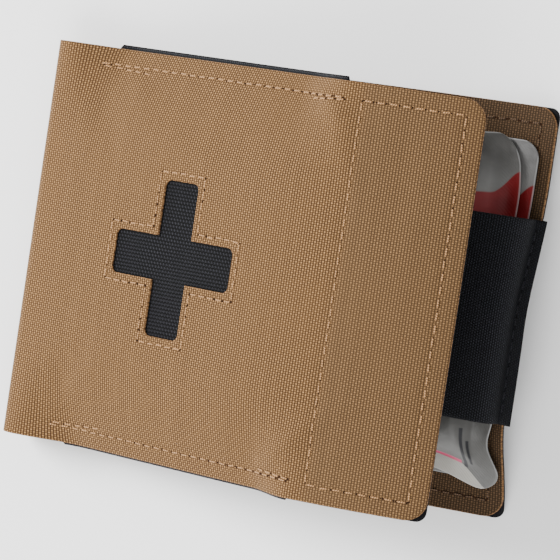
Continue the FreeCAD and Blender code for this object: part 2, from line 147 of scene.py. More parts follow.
def arrays(*values):
    return np.broadcast_arrays(*(np.asarray(value, float) for value in values))


def back_lift(x, y):
    """How far the back cover's fore-edge curls up at a place, and how far that pulls it in."""
    reach = BACK_END - RISE_START
    share = np.clip((x - RISE_START) / reach, 0, 1.1)
    height = RISE_HEIGHT * smooth((y + 3) / 32) * (1 - 0.55 * smooth((y - 56) / 42))
    return height * share**2, 2 * height**2 / reach * share**3 / 3


def back_skew(x):
    """How far the back cover has slipped up the page at a distance from the fold."""
    return SLIP * smooth(x / 150)


def bump(s, y, at, heading, length, width):
    """A soft ridge of height 1: its middle, its heading in degrees from +s, its length and width."""
    turn = math.radians(heading)
    ds, dy = s - at[0], y - at[1]
    along = (ds * math.cos(turn) + dy * math.sin(turn)) / length
    across = (dy * math.cos(turn) - ds * math.sin(turn)) / width
    return np.exp(-(along**2) - across**2)


# Wrinkles of the front cover: middle, heading, length, width and height.
WRINKLES = (
    ((107, 116), -32, 16, 3.4, 0.85),
    ((117, 104), -62, 16, 4.0, 0.5),
    ((113, 14), 42, 16, 3.6, 0.85),
    ((96, 22), 33, 24, 6.0, 0.35),
    ((78, 22), 24, 26, 7.0, 0.45),
    ((24, 104), -58, 22, 5.5, -0.55),
    ((34, 112), -48, 12, 3.0, 0.4),
    ((22, 16), 52, 20, 5.5, -0.5),
    ((33, 22), 42, 16, 4.5, 0.35),
    ((56, 96), -20, 22, 6.0, 0.35),
    ((88, 98), 12, 20, 6.0, -0.3),
    ((44, 30), 10, 16, 5.0, -0.3),
    ((138, 100), 84, 22, 6.5, -0.35),
    ((139, 36), 92, 26, 7.5, -0.3),
)


def front_shape(s, y):
    """How far the front cover stands off its plain bow: negative where its edges curl in."""
    edge = np.clip(1 - np.minimum(y, HEIGHT - y) / CURL_REACH, 0, 1.1)
    fade = smooth((s - HALF) / 22) * (1 - smooth((s - 98) / 20))
    return -CURL_DEPTH * edge**1.8 * fade


def wrinkles(s, y):
    """Small creases of the front cover's cloth, upon its larger shape."""
    found = sum(height * bump(s, y, at, heading, length, width)
                for at, heading, length, width, height in WRINKLES)
    return found * smooth((s - HALF) / 10)


def place(s, y, offset, shaped=True):
    """The points of the cloth at (s, y, offset), in metres."""
    s, y, offset = arrays(s, y, offset)
    turn = (np.clip(s, -HALF, HALF) + HALF) / FOLD_RADIUS
    bow = np.maximum(s - STRAIGHT_END, 0) / BEND_RADIUS - RISE
    run = np.minimum(s - STRAIGHT_END, 0)
    front, back = s > HALF, s < -HALF
    out_x = np.where(front, np.sin(bow), np.where(back, 0, -np.sin(turn)))
    out_z = np.where(front, np.cos(bow), np.where(back, -1, -np.cos(turn)))
    flat = -s - HALF
    lift, pull = back_lift(flat, y)
    front_x = BEND_X + BEND_RADIUS * out_x + run * math.cos(RISE)
    front_z = BEND_Z + BEND_RADIUS * out_z + run * math.sin(RISE)
    x = np.where(front, front_x, np.where(back, flat - pull, FOLD_RADIUS * out_x))
    z = np.where(front, front_z, FOLD_Z + FOLD_RADIUS * out_z)
    shape = (front_shape(s, y) + wrinkles(s, y)) if shaped else 0
    off = offset + np.where(front, shape, np.where(back, -lift, 0))
    y = y + np.where(back, back_skew(flat), 0)
    return np.stack([x + out_x * off, y, z + out_z * off], axis=-1) * MM


def place_plain(s, y, offset):
    """Like place, without the front cover's curl and wrinkles."""
    return place(s, y, offset, shaped=False)


def place_flat(x, y, z):
    """A point over the back cover, moved as the cover's curl moves it, in metres."""
    x, y, z = arrays(x, y, z)
    lift, pull = back_lift(x, y)
    return np.stack([x - pull, y + back_skew(x), z + lift], axis=-1) * MM


# ---- meshes

def new_piece(name, points, faces, uvs, slots, materials):
    """A smooth mesh object: uvs has one pair for each corner of each face, slots one number for
    each face."""
    mesh = bpy.data.meshes.new(name)
    mesh.from_pydata(points.tolist(), [], faces)
    mesh.polygons.foreach_set("use_smooth", [True] * len(mesh.polygons))
    layer = mesh.uv_layers.new(name="cloth")
    layer.data.foreach_set("uv", uvs.astype(np.float32).ravel())
    for material in materials:
        mesh.materials.append(material)
    mesh.polygons.foreach_set("material_index", slots)
    mesh.validate()
    mesh.update()
    piece = bpy.data.objects.new(name, mesh)
    bpy.context.scene.collection.objects.link(piece)
    return piece


def belongs(piece, body, node):
    """Puts a piece on the body it rides on, and hides the CAD node that it replaces."""
    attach(piece, body)
    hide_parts(node)


def lines(low, high, step=1.0, through=()):
    """Grid lines from low to high, at most step apart, that pass through the given places."""
    stops = sorted({round(p, 4) for p in (low, high, *through) if low <= p <= high})
    found = [stops[0]]
    for a, b in zip(stops, stops[1:]):
        count = max(1, math.ceil((b - a) / step - 1e-6))
        found += [a + (b - a) * (i + 1) / count for i in range(count)]
    return np.array(found)


def corner_lines(low, high, radius):
    """Lines near both ends of a span that follow a rounded corner's arc in even turns."""
    steps = [radius * (1 - math.cos(math.radians(a))) for a in (12, 24, 36, 48, 60, 75, 90)]
    return [low + d for d in steps] + [high - d for d in steps]


def rounded(across, up, radius, near=True, far=True, high_radius=None):
    """Grid points over a rectangle whose corners are rounded, by shortening the rows near its ends.
    Its near end, its far end or both are rounded, and its high corners may have their own radius."""
    s, y = np.meshgrid(across, up)
    low, high = up[0], up[-1]
    radii = np.where(y > (low + high) / 2, high_radius or radius, radius)
    inside = np.maximum(0, radii - np.minimum(y - low, high - y))
    cut = radii - np.sqrt(np.maximum(0, radii**2 - inside**2))
    first, last = across[0], across[-1]
    reach = min(20, (last - first) / 2)
    if far:
        s = s - cut * np.clip((s - (last - reach)) / reach, 0, 1)
    if near:
        s = s + cut * np.clip(((first + reach) - s) / reach, 0, 1)
    return s, y


def sheet_mesh(name, s, y, inner, outer, put, materials, keep=None, bevel=0.12, uv_shift=UV_SHIFT):
    """A closed sheet over a grid of (s, y) points between two offsets, with softened cut edges.
    put gives the place of (s, y, offset), keep says which cells of the grid are there, and
    materials are the outer face's, the inner face's and the cut edge's."""
    rows, columns = s.shape
    keep = np.ones((rows - 1, columns - 1), bool) if keep is None else keep
    inner, outer = (np.broadcast_to(np.asarray(a, float), s.shape) for a in (inner, outer))
    number = np.arange(rows * columns).reshape(rows, columns)
    cells = np.stack([number[:-1, :-1], number[:-1, 1:], number[1:, 1:], number[1:, :-1]], -1)[keep]
    directed = dict.fromkeys(
        edge for k in range(4) for edge in zip(cells[:, k].tolist(), cells[:, (k + 1) % 4].tolist()))
    border = [(a, b) for a, b in directed if (b, a) not in directed]
    flat_s, flat_y = s.ravel(), y.ravel()
    pull = np.zeros((rows * columns, 2))
    for a, b in border:
        run = np.array([flat_s[b] - flat_s[a], flat_y[b] - flat_y[a]])
        run /= max(np.hypot(*run), 1e-9)
        for end in (a, b):
            pull[end] += (-run[1], run[0])
    size = np.hypot(pull[:, 0], pull[:, 1])
    size[size == 0] = 1
    pull *= (bevel / size)[:, None]
    used = np.unique(cells)
    index = np.full(rows * columns, -1)
    index[used] = np.arange(len(used))
    rim = np.array(sorted({v for edge in border for v in edge}))
    rim_index = {v: i for i, v in enumerate(rim.tolist())}
    in_s, in_y = flat_s + pull[:, 0], flat_y + pull[:, 1]
    flat_in, flat_out = inner.ravel(), outer.ravel()
    soft = np.minimum(bevel, (flat_out - flat_in) * 0.35)
    layers = [(in_s, in_y, flat_out, used), (in_s, in_y, flat_in, used),
              (flat_s, flat_y, flat_out - soft, rim), (flat_s, flat_y, flat_in + soft, rim)]
    points = np.concatenate([put(a[at], b[at], off[at]) for a, b, off, at in layers])
    spots = np.concatenate([np.stack([flat_s, flat_y], -1)[layer[-1]] for layer in layers])
    count, rims = len(used), len(rim)
    outer_faces = index[cells]
    faces = outer_faces.tolist() + (outer_faces[:, ::-1] + count).tolist()
    slots = [0] * len(cells) + [1] * len(cells)
    for a, b in border:
        ia, ib = int(index[a]), int(index[b])
        ra, rb = rim_index[a] + 2 * count, rim_index[b] + 2 * count
        rings = [(ia, ib), (ra, rb), (ra + rims, rb + rims), (ia + count, ib + count)]
        for (p, q), (r, t) in zip(rings, rings[1:]):
            faces.append([q, p, r, t])
            slots.append(2)
    corners = np.concatenate([np.asarray(f) for f in faces])
    uvs = (spots + (uv_shift, 0))[corners] * MM
    return new_piece(name, points, faces, uvs, slots, materials)


# ---- materials

class Finish:
    """A material made of nodes: most methods add a node and give its output. Colours are display
    values from 0 to 255."""

    def __init__(self, name, rough, shine, sheen=0.0, fuzz=0.5, coat=0.0, coat_rough=0.03):
        self.material = bpy.data.materials.new(name)
        self.material.use_nodes = True
        self.nodes = self.material.node_tree.nodes
        self.links = self.material.node_tree.links
        self.shader = next(n for n in self.nodes if n.type == "BSDF_PRINCIPLED")
        for socket, amount in (("Roughness", rough), ("Specular IOR Level", shine),
                               ("Sheen Weight", sheen), ("Sheen Roughness", fuzz),
                               ("Coat Weight", coat), ("Coat Roughness", coat_rough)):
            self.shader.inputs[socket].default_value = amount

    def node(self, kind, inputs=None, **settings):
        made = self.nodes.new(kind)
        for key, setting in settings.items():
            setattr(made, key, setting)
        for key, amount in (inputs or {}).items():
            self.feed(made.inputs[key], amount)
        return made

    def feed(self, socket, amount):
        if isinstance(amount, bpy.types.NodeSocket):
            self.links.new(amount, socket)
        else:
            socket.default_value = srgb(*amount) if isinstance(amount, tuple) else amount

    def math(self, operation, *values):
        made = self.node("ShaderNodeMath", dict(enumerate(values)), operation=operation)
        return made.outputs[0]

    def times(self, first, second):
        return self.math("MULTIPLY", first, second)

    def blend(self, share, first, second):
        made = self.node("ShaderNodeMix", data_type="RGBA")
        for i, amount in ((0, share), (6, first), (7, second)):
            self.feed(made.inputs[i], amount)
        return made.outputs[2]

    def noise(self, vector, scale, detail=2.0, rough=0.5):
        made = self.node("ShaderNodeTexNoise", {
            "Vector": vector, "Scale": scale, "Detail": detail, "Roughness": rough})
        return made.outputs[0]

    def cloth(self):
        """The cloth coordinates: the vector, and s and y in metres."""
        spot = self.node("ShaderNodeUVMap", uv_map="cloth").outputs[0]
        parts = self.node("ShaderNodeSeparateXYZ", {0: spot})
        return spot, parts.outputs[0], parts.outputs[1]

    def span(self, value, low, high, to_low=0.0, to_high=1.0):
        made = self.node("ShaderNodeMapRange", {
            0: value, 1: low, 2: high, 3: to_low, 4: to_high}, interpolation_type="SMOOTHSTEP")
        return made.outputs[0]

    def colour(self, output):
        self.links.new(output, self.shader.inputs["Base Color"])

    def rough(self, output):
        self.links.new(output, self.shader.inputs["Roughness"])

    def bumps(self, *layers):
        """Adds height layers, each (height, metres), one upon the other."""
        normal = None
        for height, distance in layers:
            made = self.node("ShaderNodeBump", {"Height": height, "Distance": distance, "Strength": 1.0})
            if normal is not None:
                self.links.new(normal, made.inputs["Normal"])
            normal = made.outputs[0]
        self.links.new(normal, self.shader.inputs["Normal"])


def srgb(red, green, blue):
    """A colour given as display values, as the shader wants it."""
    def linear(c):
        c /= 255
        return c / 12.92 if c <= 0.04045 else ((c + 0.055) / 1.055) ** 2.4
    return linear(red), linear(green), linear(blue), 1.0


def weave(f, s, y, pitch_s, pitch_y):
    """A plain weave: the height of its yarns from 0 to 1, and a tone from 0 to 1 for each float."""
    cells = [f.math("DIVIDE", s, pitch_s * MM), f.math("DIVIDE", y, pitch_y * MM)]
    whole = [f.math("FLOOR", c) for c in cells]
    crown = [
        f.math("COSINE", f.times(f.math("SUBTRACT", f.math("FRACT", c), 0.5), math.pi))
        for c in cells
    ]
    over = f.math("FLOORED_MODULO", f.math("ADD", *whole), 2.0)
    warp = f.times(f.math("POWER", crown[0], 0.8), f.math("MULTIPLY_ADD", crown[1], 0.45, 0.55))
    weft = f.times(f.math("POWER", crown[1], 0.8), f.math("MULTIPLY_ADD", crown[0], 0.75, 0.1))
    height = f.math("MULTIPLY_ADD", over, f.math("SUBTRACT", weft, warp), warp)
    cell = f.node("ShaderNodeCombineXYZ", {0: whole[0], 1: whole[1]}).outputs[0]
    tone = f.node("ShaderNodeTexWhiteNoise", {"Vector": cell}, noise_dimensions="2D").outputs[0]
    yarn = f.node("ShaderNodeTexWhiteNoise", {"W": whole[0]}, noise_dimensions="1D").outputs[0]
    return height, f.math("MULTIPLY_ADD", yarn, 0.4, f.times(tone, 0.6))


def cloth_finish(name, light, mid, dark, pitch, depth, flap_shade=None):
    """Woven nylon: light crowns, dark gaps, uneven yarns, and slow changes of tone; the crowns' light is
    painted highlight and the gaps' dark is painted shade. Over the flap, where the hook panel is sewn behind
    it, the cloth can be toned towards a darker colour: painted shade, as the flap faces away from the light."""
    rough, mottle = 0.85, 0.25
    f = Finish(name, rough, 0.12, sheen=0.02)
    spot, s, y = f.cloth()
    height, tone = weave(f, s, y, *pitch)
    crowned = f.math("POWER", height, 1.3)
    # Painted highlight on the yarns' crowns and painted shade in the gaps between them.
    body = f.blend(f.span(crowned, 0.02, 0.5), dark, mid)
    body = f.blend(f.span(crowned, 0.45, 1.0), body, light)
    body = f.blend(f.times(f.math("SUBTRACT", 1.0, tone), mottle), body, dark)
    slow = f.noise(spot, 28.0, 3.0)
    body = f.blend(f.span(slow, 0.35, 0.75, 0.0, 0.16), body, mid)
    # Painted shade: past the hook panel's seam the flap is toned darker, as it faces away from the light.
    if flap_shade:
        seam = UV_SHIFT + HOOK_SEAM[0]
        flap = f.span(s, (seam - 3) * MM, (seam + 3) * MM, 0.0, 0.32)
        body = f.blend(flap, body, flap_shade)
    fine = f.noise(spot, 5200.0, 2.0)
    f.colour(body)
    f.rough(f.span(height, 0.0, 1.0, rough + 0.1, rough - 0.08))
    f.bumps((height, depth * MM), (fine, 0.04 * MM))
    return f.material


def cut_edge_finish(name, colour, dark):
    """The laser-cut edge of cloth: pale sealed yarn ends."""
    f = Finish(name, 0.8, 0.1, sheen=0.02)
    spot = f.cloth()[0]
    grain = f.noise(spot, 1500.0, 3.0)
    f.colour(f.blend(f.span(grain, 0.35, 0.65), dark, colour))
    f.bumps((grain, 0.15 * MM))
    return f.material


# The last colour darkens the shell over the flap: painted shade.
coyote = cloth_finish("coyote_cloth", (172, 132, 87), (99, 72, 43), (47, 30, 15), (0.86, 0.65), 0.1,
                      flap_shade=(80, 63, 44))
# The lining is toned much darker than the shell; part of that is painted shade, for the shade between the
# closed covers.
coyote_inner = cloth_finish("coyote_lining", (98, 75, 51), (64, 48, 32), (34, 24, 15), (0.86, 0.65), 0.1)
coyote_edge = cut_edge_finish("coyote_cut_edge", (136, 101, 66), (76, 53, 33))
black_cloth = cloth_finish("black_cloth", (44, 44, 51), (1, 1, 2), (0, 0, 0), (0.6, 1.05), 0.2)
black_edge = cut_edge_finish("black_cut_edge", (20, 20, 23), (6, 6, 8))


def elastic_finish(name, along_s):
    """Knitted black elastic: fine raised lines across its stretch, broken by its rubber cords. Its colour is
    painted shade in the low places and painted highlight on the raised lines.
    """
    light, mid, dark = (54, 56, 63), (13, 14, 18), (2, 2, 3)
    row_pitch, cord_pitch = 0.84 * MM, 0.8 * MM
    f = Finish(name, 0.85, 0.15, sheen=0.03, fuzz=0.4)
    spot, s, y = f.cloth()
    length, width = (s, y) if along_s else (y, s)
    row = f.math("DIVIDE", length, row_pitch)
    line = f.math("ABSOLUTE", f.math("SINE", f.times(row, math.pi)))
    cords = f.math("ADD", f.math("DIVIDE", width, cord_pitch), f.times(f.math("FLOOR", row), 0.5))
    cord = f.math("ABSOLUTE", f.math("SINE", f.times(cords, math.pi)))
    height = f.times(f.math("POWER", line, 0.6), f.math("MULTIPLY_ADD", cord, 0.5, 0.5))
    fine = f.noise(spot, 3600.0, 2.0)
    # Painted shade low down and painted highlight on the crowns of the raised lines.
    tone = f.blend(f.span(height, 0.15, 0.75), dark, mid)
    tone = f.blend(f.times(f.span(height, 0.55, 1.0), f.span(fine, 0.35, 0.7)), tone, light)
    f.colour(tone)
    f.rough(f.span(height, 0.0, 1.0, 0.95, 0.7))
    f.bumps((height, 0.3 * MM), (fine, 0.03 * MM))
    return f.material


black_elastic_s = elastic_finish("black_elastic_back", True)
black_elastic_y = elastic_finish("black_elastic_front", False)


def pile_finish(name, light, dark, scale, depth):
    """Loop or hook tape: a dense field of small loops."""
    f = Finish(name, 0.95, 0.1, sheen=0.08, fuzz=0.6)
    spot = f.cloth()[0]
    cells = f.node("ShaderNodeTexVoronoi", {"Vector": spot, "Scale": scale}, feature="F1").outputs[0]
    fuzz = f.noise(spot, scale * 2.2, 4.0, 0.7)
    worn = f.noise(spot, 45.0, 3.0)
    tuft = f.times(f.span(cells, 0.6, 0.0), f.span(fuzz, 0.3, 0.7))
    tone = f.blend(tuft, dark, light)
    f.colour(f.blend(f.span(worn, 0.45, 0.8, 0.0, 0.35), tone, light))
    f.bumps((tuft, depth * MM), (fuzz, depth * 0.5 * MM))
    return f.material


black_loop = pile_finish("black_loop", (40, 40, 43), (7, 7, 8), 1500.0, 0.5)
black_hook = pile_finish("black_hook", (44, 44, 47), (7, 7, 8), 800.0, 0.6)


def thread_finish(name, light, dark):
    """Twisted sewing thread."""
    f = Finish(name, 0.6, 0.2, sheen=0.03)
    spot, s, y = f.cloth()
    twist = f.math("SINE", f.math("ADD", f.times(s, 9000.0), f.times(y, 2000.0)))
    f.colour(f.blend(f.span(twist, -1.0, 1.0), dark, light))
    f.bumps((twist, 0.04 * MM))
    return f.material


tan_thread = thread_finish("tan_thread", (178, 136, 92), (108, 77, 47))
# Tan thread toned dark brown: painted shade, for the shade on the lining between the closed covers.
shaded_tan_thread = thread_finish("shaded_tan_thread", (92, 68, 45), (40, 28, 18))
black_thread = thread_finish("black_thread", (44, 44, 50), (10, 10, 12))


def hole_finish():
    """The mouth of a needle's hole, painted dark: painted shade, for the shade inside the hole."""
    f = Finish("needle_hole", 1.0, 0.05)
    grain = f.noise(f.cloth()[0], 3000.0)
    f.colour(f.blend(grain, (20, 12, 7), (52, 34, 22)))
    return f.material


needle_hole = hole_finish()


def rubber_finish(name, light, dark):
    """Smooth rubber strap with fine lengthwise ribs and a dusting of talc."""
    f = Finish(name, 0.6, 0.4)
    spot, s, y = f.cloth()
    ribs = f.math("SINE", f.times(y, 2 * math.pi / (1.6 * MM)))
    dust = f.noise(spot, 160.0, 4.0, 0.6)
    f.colour(f.blend(f.span(dust, 0.35, 0.8), dark, light))
    f.rough(f.span(dust, 0.3, 0.8, 0.45, 0.8))
    f.bumps((ribs, 0.05 * MM), (f.noise(spot, 3000.0), 0.02 * MM))
    return f.material


def film_finish(name, light, dark, rough):
    """Thin plastic film with soft creases."""
    f = Finish(name, rough, 0.5, coat=0.3, coat_rough=0.15)
    spot = f.cloth()[0]
    crease = f.noise(spot, 90.0, 3.0, 0.55)
    f.colour(f.blend(f.span(crease, 0.3, 0.7), dark, light))
    f.rough(f.span(crease, 0.3, 0.75, rough - 0.08, rough + 0.2))
    f.bumps((crease, 0.7 * MM), (f.noise(spot, 700.0, 2.0), 0.05 * MM))
    return f.material


def box_mask(f, u, v, left, right, low, high):
    """1 inside a rectangle given in millimetres from the pouch's corner."""
    soft, mask = 0.2, 1.0
    for value, first, last in ((u, left, right), (v, low, high)):
        rising = f.span(value, (first - soft) * MM, (first + soft) * MM)
        falling = f.span(value, (last - soft) * MM, (last + soft) * MM, 1.0, 0.0)
        mask = f.times(mask, f.times(rising, falling))
    return mask


# Plain printed marks near a pouch's low end: left, right, low and high in millimetres from its
# corner, and a colour.
MARKS = (
    (66.2, 67.2, 5.0, 17.5, (26, 26, 30)),
    (68.1, 68.8, 6.5, 13.5, (26, 26, 30)),
    (56.0, 65.5, 5.6, 6.6, (172, 55, 90)),
)


def printed_film_finish(name, marks, dark, light, wedge, red_top):
    """Clear grey film over white: a red printed field up to red_top, plain marks, a sealed edge with a thin
    pale line along it that is painted highlight, lighter bands near both ends that are painted highlight,
    and a bare white wedge at the low end, as high as wedge."""
    f = Finish(name, 0.45, 0.35, coat=0.08, coat_rough=0.3)
    spot, u, v = f.cloth()
    width, length = (size * MM for size in POUCH_SIZE)
    cloudy = f.noise(spot, 70.0, 3.0, 0.55)
    from_side = f.math("SUBTRACT", width, u)
    tone = f.blend(f.span(cloudy, 0.35, 0.65), dark, light)
    # Painted highlight: lighter bands across the film near its low end and near its high end.
    low_end_highlight = f.span(v, 0.0, 0.036, 0.25, 0.0)
    high_end_highlight = f.times(f.span(v, 0.082, 0.086), f.span(v, 0.088, 0.099, 0.5, 0.0))
    tone = f.blend(f.math("ADD", low_end_highlight, high_end_highlight), tone, (128, 128, 126))
    bare = f.times(f.span(u, 0.063, 0.074, 1.0, 0.0), wedge * MM)
    tone = f.blend(f.span(f.math("SUBTRACT", bare, v), 0.0, 0.0004), tone, (152, 149, 142))
    edge = f.math("MULTIPLY_ADD", f.span(from_side, 0.0, 0.008, 1.0, 0.0), 0.0065, red_top * MM)
    red = f.times(f.span(f.math("SUBTRACT", edge, v), 0.0, 0.0006), f.span(v, 0.030, 0.031))
    tone = f.blend(red, tone, f.blend(f.span(cloudy, 0.35, 0.7), (100, 4, 9), (118, 7, 13)))
    for left, right, low, high, colour in marks:
        tone = f.blend(box_mask(f, u, v, left, right, low, high), tone, colour)
    across = f.math("MINIMUM", u, from_side)
    up = f.math("MINIMUM", v, f.math("SUBTRACT", length, v))
    # Painted highlight: a thin pale line along the film's very edge.
    rim = f.span(f.math("MINIMUM", across, up), 0.0001, 0.0005, 0.35, 0.0)
    tone = f.blend(rim, tone, (176, 176, 176))
    f.colour(tone)
    f.rough(f.span(cloudy, 0.3, 0.75, 0.4, 0.55))
    crimp = f.math("SINE", f.times(f.math("ADD", u, v), 2 * math.pi / (1.1 * MM)))
    seal = f.span(f.math("MINIMUM", across, up), 0.0050, 0.0060, 1.0, 0.0)
    crease = f.noise(spot, 140.0, 3.0, 0.55)
    f.bumps((f.times(crimp, seal), 0.015 * MM), (crease, 0.35 * MM))
    return f.material


strap_elastic = rubber_finish("strap_rubber", (46, 46, 49), (24, 24, 26))
sleeve_film = film_finish("sleeve_film", (178, 180, 182), (142, 144, 146), 0.4)
pouch_backing = film_finish("pouch_backing", (148, 148, 146), (124, 124, 122), 0.5)
# The films' greys are partly painted shade, for the shade under the front cover's fore-edge; the upper
# pouch's barred film is painted darker still.
plain_film = printed_film_finish("plain_film", (), (76, 75, 74), (106, 105, 104), 0, 85.4)
barred_film = printed_film_finish("barred_film", MARKS, (56, 55, 53), (76, 75, 73), 6.8, 87.6)
white_pad = cloth_finish("white_pad", (246, 244, 239), (226, 223, 216), (176, 172, 164), (1.2, 1.2), 0.15)
gauze_cloth = cloth_finish("gauze_cloth", (248, 246, 240), (230, 227, 218), (168, 163, 150), (1.5, 1.5), 0.3)

# ---- covers

def near_seams(places):
    """Extra grid lines beside seams, for their puckers."""
    reach, step = 1.6, 0.4
    offsets = np.arange(-reach, reach + step / 2, step)
    return [p + d for p in places for d in offsets]


def loop_of(spots):
    """The runs of a sewn row, each a pair of ends on the cloth, that join the spots in a ring."""
    return list(zip(spots, spots[1:] + spots[:1]))


def rectangle(left, right, low, high):
    return loop_of([(left, low), (right, low), (right, high), (left, high)])


def cross_runs():
    """The row round the cross window."""
    tip, arm = CROSS_TIP + CROSS_SEAM_GAP, CROSS_ARM + CROSS_SEAM_GAP
    spots = []
    for turn in range(4):
        for x, y in ((tip, arm), (arm, arm), (arm, tip)):
            for _ in range(turn):
                x, y = -y, x
            spots.append((CROSS_S + x, CROSS_Y + y))
    return loop_of(spots)


def band_runs(y, inward):
    """A row that holds an end of the front band, sewn over twice more at both its ends."""
    start, end = FRONT_BAND[0] - 3.5, FRONT_BAND[1]
    return [((start, y), (end, y)),
            ((start + 1, y + inward * 0.6), (start + 20, y + inward * 1.6)),
            ((end - 13, y + inward * 1.3), (end + 0.6, y + inward * 0.5))]


# The sewn rows of the front cover.
HOOK_RUNS = rectangle(*HOOK_SEAM, *SEAM_YS)
CROSS_RUNS = cross_runs()
TOP_RUNS = band_runs(TOP_SEAM, -1)
BOTTOM_RUNS = band_runs(SEAM_INSET, 1)
CROSS_CORNER_STEPS = (0.4, 0.8, 1.2, 1.6, CROSS_ROUND)


def seam_dip(s, y):
    """How far the pulled thread sinks into the cloth at a place."""
    found = np.zeros(np.shape(s))
    for (x0, y0), (x1, y1) in HOOK_RUNS + CROSS_RUNS + TOP_RUNS + BOTTOM_RUNS:
        length = math.hypot(x1 - x0, y1 - y0)
        way = ((x1 - x0) / length, (y1 - y0) / length)
        along = (s - x0) * way[0] + (y - y0) * way[1]
        beyond = along - np.clip(along, 0, length)
        away = np.hypot((y - y0) * way[0] - (s - x0) * way[1], beyond)
        pulled = 1 - 0.35 * np.cos(along * 2 * math.pi / STITCH_PITCH)
        found = np.maximum(found, pulled * np.exp(-(away / 0.85) ** 2))
    return SEAM_DIP * found


def cross_ticks(centre):
    """Grid lines along one axis that the cross window and its rounded corners need."""
    return [centre + side * (size - d)
            for side in (-1, 1) for size in (CROSS_TIP, CROSS_ARM) for d in (0, *CROSS_CORNER_STEPS)]


def in_cross(s, y):
    """Whether a place lies inside the cross window."""
    ds, dy = abs(s - CROSS_S), abs(y - CROSS_Y)
    return (ds < CROSS_TIP) & (dy < CROSS_ARM) | (ds < CROSS_ARM) & (dy < CROSS_TIP)


def round_window(s, y):
    """Moves the window's border points at the ends of its arms onto rounded corners."""
    near = 1e-3
    for reach_s, reach_y in ((CROSS_TIP, CROSS_ARM), (CROSS_ARM, CROSS_TIP)):
        for a, b in itertools.product((-1, 1), repeat=2):
            corner = np.array([CROSS_S + a * reach_s, CROSS_Y + b * reach_y])
            centre = corner - (a * CROSS_ROUND, b * CROSS_ROUND)
            ds, dy = (corner[0] - s) * a, (corner[1] - y) * b
            for along, across, runs_on_s in ((ds, dy, True), (dy, ds, False)):
                hit = (abs(across) < near) & (along > -near) & (along < CROSS_ROUND + near)
                turn = (CROSS_ROUND - along[hit]) / CROSS_ROUND * math.pi / 4
                lean, stand = np.sin(turn) * CROSS_ROUND, np.cos(turn) * CROSS_ROUND
                s[hit] = centre[0] + a * (lean if runs_on_s else stand)
                y[hit] = centre[1] + b * (stand if runs_on_s else lean)
    return s, y


def cover_lines(end, step, ticks=()):
    """Grid lines from the middle of the fold to a cover's fore-edge, close together in the fold."""
    fold = lines(0, HALF + 2, 0.35)
    flat = lines(HALF + 2, end, step, ticks)
    return np.concatenate([fold, flat[1:]])


FINE_STEP, PLAIN_STEP = 0.85, 1.2
shell_finishes = (coyote, coyote, coyote_edge)
lining_finishes = (coyote_inner, coyote_inner, coyote_edge)

up = lines(0, HEIGHT, FINE_STEP,
           [*corner_lines(0, HEIGHT, CORNER), *cross_ticks(CROSS_Y), *near_seams(SEAM_YS)])
across = cover_lines(FRONT_WIDTH, FINE_STEP, [*cross_ticks(CROSS_S), *near_seams(HOOK_SEAM)])
s, y = rounded(across, up, CORNER, near=False)
keep = ~in_cross((s[:-1, :-1] + s[1:, 1:]) / 2, (y[:-1, :-1] + y[1:, 1:]) / 2)
s, y = round_window(s, y)
front_cover = sheet_mesh("front_cover_cloth", s, y, 0, SHELL - seam_dip(s, y), place, shell_finishes, keep)

up = lines(0, HEIGHT, PLAIN_STEP, corner_lines(0, HEIGHT, CORNER))
s, y = rounded(-cover_lines(BACK_WIDTH, PLAIN_STEP)[::-1], up, CORNER, far=False)
back_cover = sheet_mesh("back_cover_cloth", s, y, 0, SHELL, place, shell_finishes)
back_lining = sheet_mesh("back_cover_inner_cloth", s, y, -LINING, -CLEAR, place, lining_finishes)

# The patch lies between the shell and the front lining, which sinks to make room for it.
PATCH_LOW, PATCH_HIGH = -0.28, -0.06
s, y = rounded(cover_lines(FRONT_WIDTH, PLAIN_STEP), up, CORNER, near=False)
over_patch = np.maximum(abs(s - CROSS_S), abs(y - CROSS_Y)) < PATCH_HALF + 0.6
front_lining = sheet_mesh("front_cover_inner_cloth", s, y, -LINING,
                          np.where(over_patch, PATCH_LOW - 0.04, -CLEAR), place, lining_finishes)

s, y = np.meshgrid(*(lines(middle - PATCH_HALF, middle + PATCH_HALF) for middle in (CROSS_S, CROSS_Y)))
cross_patch = sheet_mesh("cross_patch", s, y, PATCH_LOW, PATCH_HIGH, place,
                         (black_cloth, black_cloth, black_edge), bevel=0.05)
belongs(cross_patch, "front_cover", "cross_backing")

# Each cover's cloth runs from the middle of the fold to its fore-edge, over its half of the fold: its
# transform is baked, and the CAD cover and spine layers that it stands for are hidden.
for back, front, layer, slot in ((back_cover, front_cover, "shell", "coyote_cloth"),
                                 (back_lining, front_lining, "lining", "coyote_lining")):
    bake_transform(back)
    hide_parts(f"back_cover_{layer}", f"spine_{layer}")
    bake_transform(front)
    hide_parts(f"front_cover_{layer}", f"spine_{layer}")

# ---- hook and loop panels

panel_up = lines(0, HEIGHT, through=corner_lines(0, HEIGHT, PANEL_CORNER))
s, y = rounded(lines(HOOK_START, FRONT_WIDTH), panel_up, PANEL_CORNER, high_radius=CORNER + 1)
hook_panel = sheet_mesh("hook_tape", s, y, -LINING - HOOK, -LINING - CLEAR, place,
                        (black_edge, black_hook, black_edge), bevel=0.25)
belongs(hook_panel, "front_cover", "hook_panel")

s, y = rounded(-lines(PANEL_START + HALF, BACK_WIDTH)[::-1], panel_up, PANEL_CORNER)
loop_panel = sheet_mesh("loop_tape", s, y, SHELL + CLEAR, SHELL + PANEL, place,
                        (black_loop, black_edge, black_edge), bevel=0.3)
belongs(loop_panel, "back_cover", "loop_panel")

# ---- folded and bent sheets

